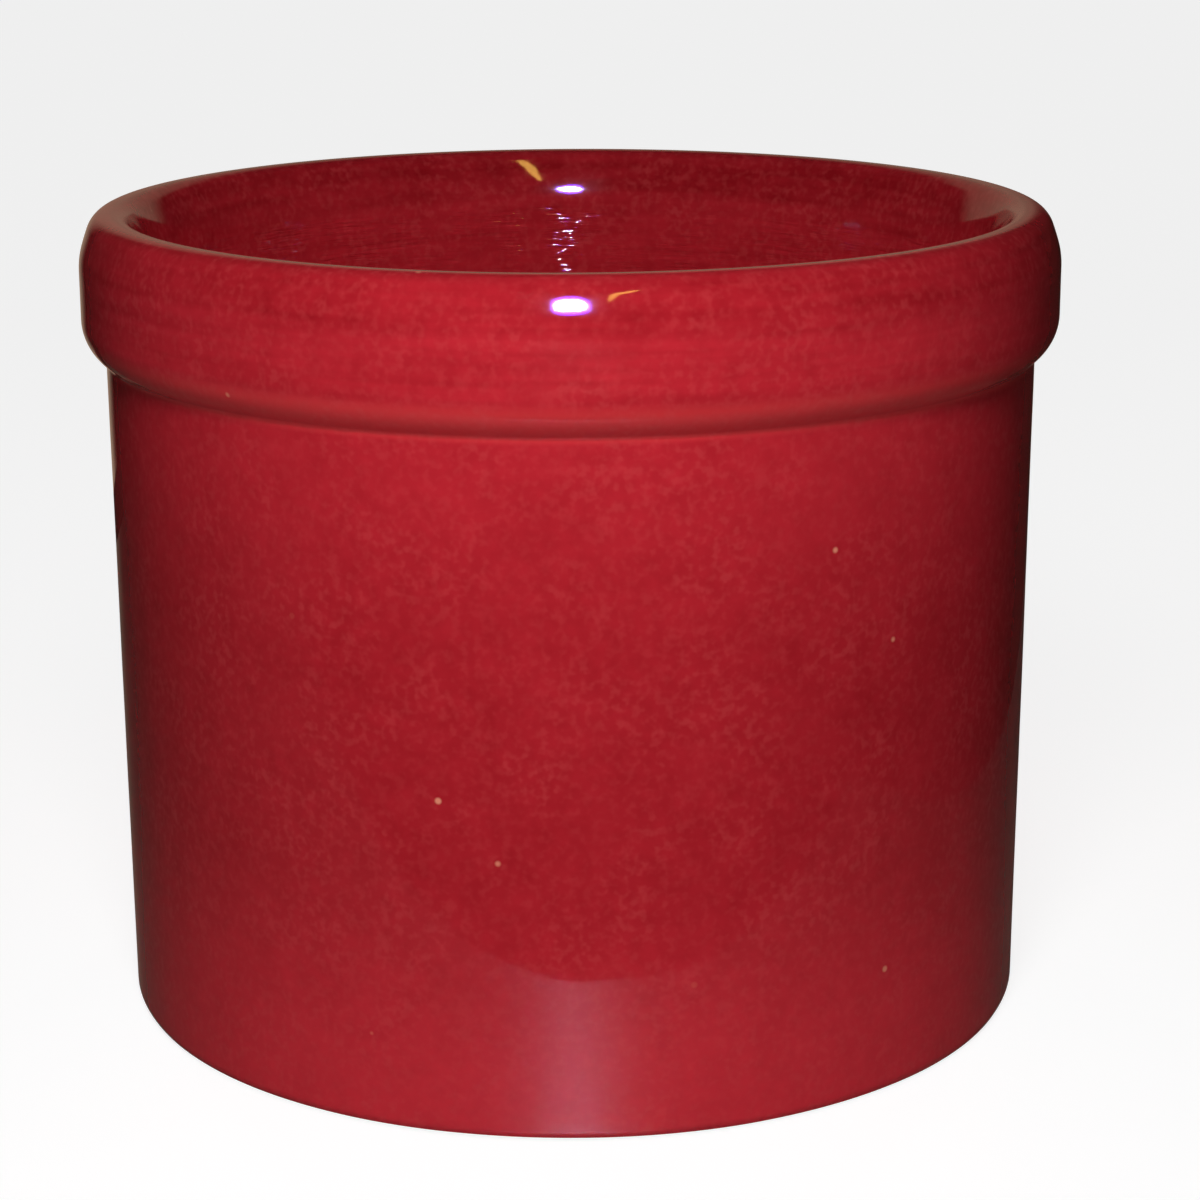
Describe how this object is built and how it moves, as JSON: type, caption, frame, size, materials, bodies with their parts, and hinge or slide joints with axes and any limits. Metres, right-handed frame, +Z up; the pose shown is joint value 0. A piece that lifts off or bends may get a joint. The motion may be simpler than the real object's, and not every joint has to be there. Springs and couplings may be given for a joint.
{
  "type": "utensil crock",
  "caption": "Short, wide red-glazed stoneware crock with a thick rolled collar and a foot ring, open at the top, for standing kitchen utensils in.",
  "frame": {"origin": "on the crock's axis, on the surface that the foot ring stands on", "axes": "+Z up along the crock's axis of revolution, out of its mouth; the crock is the same all round, so +X and +Y are free"},
  "size_m": [0.178, 0.178, 0.147],
  "materials": {
    "bare_stoneware": "matte fired clay, unglazed, fine grained",
    "red_glaze": "glossy crimson glaze, faintly speckled, browner where it runs thin"
  },
  "bodies": {
    "root": {"stoneware_body": "bare_stoneware", "outer_glaze": "red_glaze", "inner_glaze": "red_glaze", "underside_glaze": "red_glaze"}
  },
  "joints": []
}
